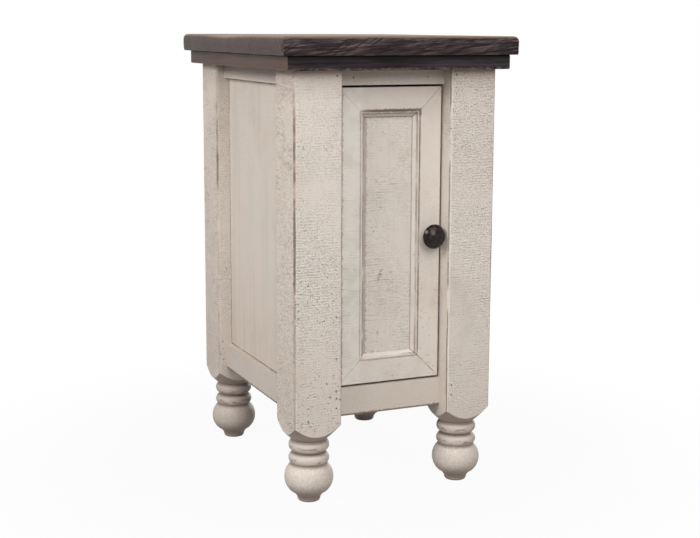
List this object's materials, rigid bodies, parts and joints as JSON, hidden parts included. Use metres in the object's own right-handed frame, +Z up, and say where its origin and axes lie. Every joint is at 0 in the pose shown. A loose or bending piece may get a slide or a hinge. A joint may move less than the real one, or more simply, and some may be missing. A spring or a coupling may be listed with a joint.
{
  "type": "storage side table with door",
  "caption": "Small square-post side table with a closed cabinet, a hinged framed door with a round knob, a plank top and turned feet.",
  "frame": {"origin": "on the floor, under the middle of the top", "axes": "+Z up, front with the door towards -Y, +X to the right seen from the front"},
  "size_m": [0.345, 0.437, 0.635],
  "materials": {
    "painted_wood": "worn antique white paint with dark glaze in the pores",
    "top_wood": "dark grey-brown stain, waxed",
    "moulding_wood": "dark grey-brown stain, waxed",
    "inside_wood": "plain antique white paint",
    "knob_metal": "dark bronze, slightly hammered",
    "hinge_metal": "dark bronze",
    "fastener_steel": "dull zinc",
    "catch_plastic": "brown"
  },
  "bodies": {
    "cabinet": {"back_bottom_rail": "painted_wood", "back_left_leg": "painted_wood", "back_panel": "painted_wood", "back_panel_nails": "fastener_steel", "back_plank": "top_wood", "back_right_leg": "painted_wood", "back_sub_top": "moulding_wood", "back_top_rail": "painted_wood", "catch_housing": "catch_plastic", "catch_magnet": "fastener_steel", "catch_screws": "fastener_steel", "door_stop": "inside_wood", "floor_cleat_screws": "fastener_steel", "floor_panel": "inside_wood", "front_bottom_rail": "painted_wood", "front_left_leg": "painted_wood", "front_plank": "top_wood", "front_right_leg": "painted_wood", "front_sub_top": "moulding_wood", "front_top_rail": "painted_wood", "hinge_frame_screws": "fastener_steel", "left_bottom_rail": "painted_wood", "left_floor_cleat": "inside_wood", "left_shelf_cleat": "inside_wood", "left_side_panel": "painted_wood", "left_sub_top": "moulding_wood", "left_top_rail": "painted_wood", "lower_hinge_frame_leaf": "hinge_metal", "lower_hinge_pin": "hinge_metal", "rail_brads": "fastener_steel", "right_bottom_rail": "painted_wood", "right_floor_cleat": "inside_wood", "right_shelf_cleat": "inside_wood", "right_side_panel": "painted_wood", "right_sub_top": "moulding_wood", "right_top_rail": "painted_wood", "second_plank": "top_wood", "shelf": "inside_wood", "shelf_cleat_screws": "fastener_steel", "third_plank": "top_wood", "top_screws": "fastener_steel", "upper_hinge_frame_leaf": "hinge_metal", "upper_hinge_pin": "hinge_metal"},
    "door": {"door_bottom_rail": "painted_wood", "door_hinge_stile": "painted_wood", "door_latch_stile": "painted_wood", "door_panel": "painted_wood", "door_top_rail": "painted_wood", "hinge_door_screws": "fastener_steel", "knob": "knob_metal", "knob_screw": "fastener_steel", "lower_hinge_door_leaf": "hinge_metal", "strike_plate": "fastener_steel", "strike_screw": "fastener_steel", "upper_hinge_door_leaf": "hinge_metal"}
  },
  "joints": [
    {"name": "door_swing", "type": "hinge", "parent": "cabinet", "child": "door", "pos_m": [-0.0764, -0.1746, 0.36325], "axis": [0, 0, -1], "range_deg": [0, 105]}
  ]
}
